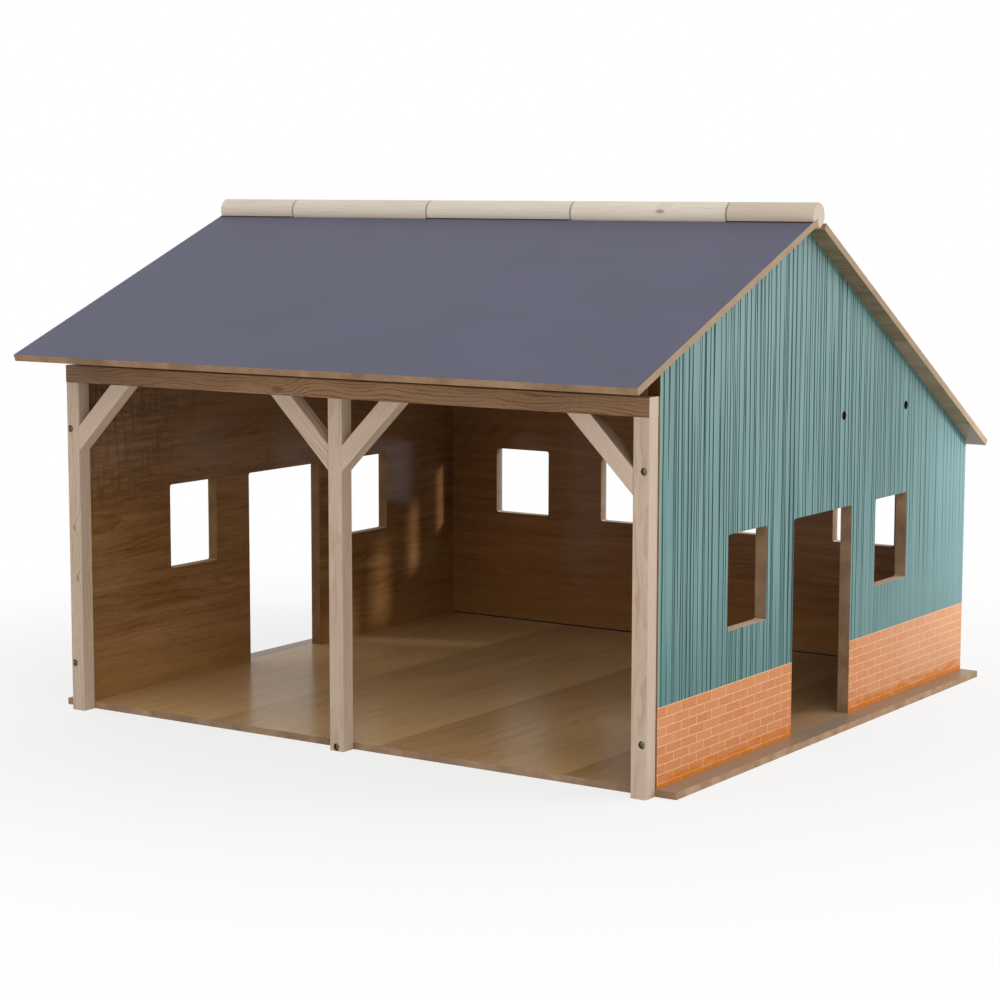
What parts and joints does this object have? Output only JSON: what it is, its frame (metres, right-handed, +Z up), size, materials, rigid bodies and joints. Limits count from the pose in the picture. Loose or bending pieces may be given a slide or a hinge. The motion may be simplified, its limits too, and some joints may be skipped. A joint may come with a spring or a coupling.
{
  "type": "toy barn",
  "caption": "Open-fronted wooden toy shed with posts and braces, side doorways and windows, and a front roof panel that swings up and over on a round wooden ridge hinge.",
  "frame": {"origin": "on the ground, in the middle of the whole outline seen from above", "axes": "+Z up, -Y towards the open front with the posts, +X towards the right side wall seen from the front"},
  "size_m": [0.54, 0.56, 0.387],
  "materials": {
    "clad_board": "printed fibreboard, turquoise cladding over a brick base, satin",
    "floor_print": "fibreboard with printed oak planks, satin",
    "roof_board": "fibreboard with a matt slate-grey top face",
    "pale_wood": "planed pale softwood and beech, unvarnished",
    "steel": "zinc plated"
  },
  "bodies": {
    "shed": {"floor_board": "floor_print", "left_wall": "clad_board", "right_wall": "clad_board", "back_wall": "clad_board", "left_post": "pale_wood", "middle_post": "pale_wood", "right_post": "pale_wood", "front_beam": "pale_wood", "left_post_brace": "pale_wood", "middle_left_brace": "pale_wood", "middle_right_brace": "pale_wood", "right_post_brace": "pale_wood", "rear_roof_panel": "roof_board", "left_rear_knuckle": "pale_wood", "right_rear_knuckle": "pale_wood", "hinge_pin": "steel", "post_screws": "steel", "middle_post_screw": "steel", "beam_screws": "steel", "wall_screws": "steel", "back_wall_screws": "steel", "back_wall_dowels": "pale_wood", "rear_roof_screws": "steel", "rear_knuckle_screws": "steel"},
    "front_roof": {"front_roof_panel": "roof_board", "left_end_knuckle": "pale_wood", "centre_knuckle": "pale_wood", "right_end_knuckle": "pale_wood", "front_knuckle_screws": "steel"}
  },
  "joints": [
    {"name": "roof_hinge", "type": "hinge", "parent": "shed", "child": "front_roof", "pos_m": [0, -0.032, 0.37801], "axis": [-1, 0, 0], "range_deg": [0, 230]}
  ]
}
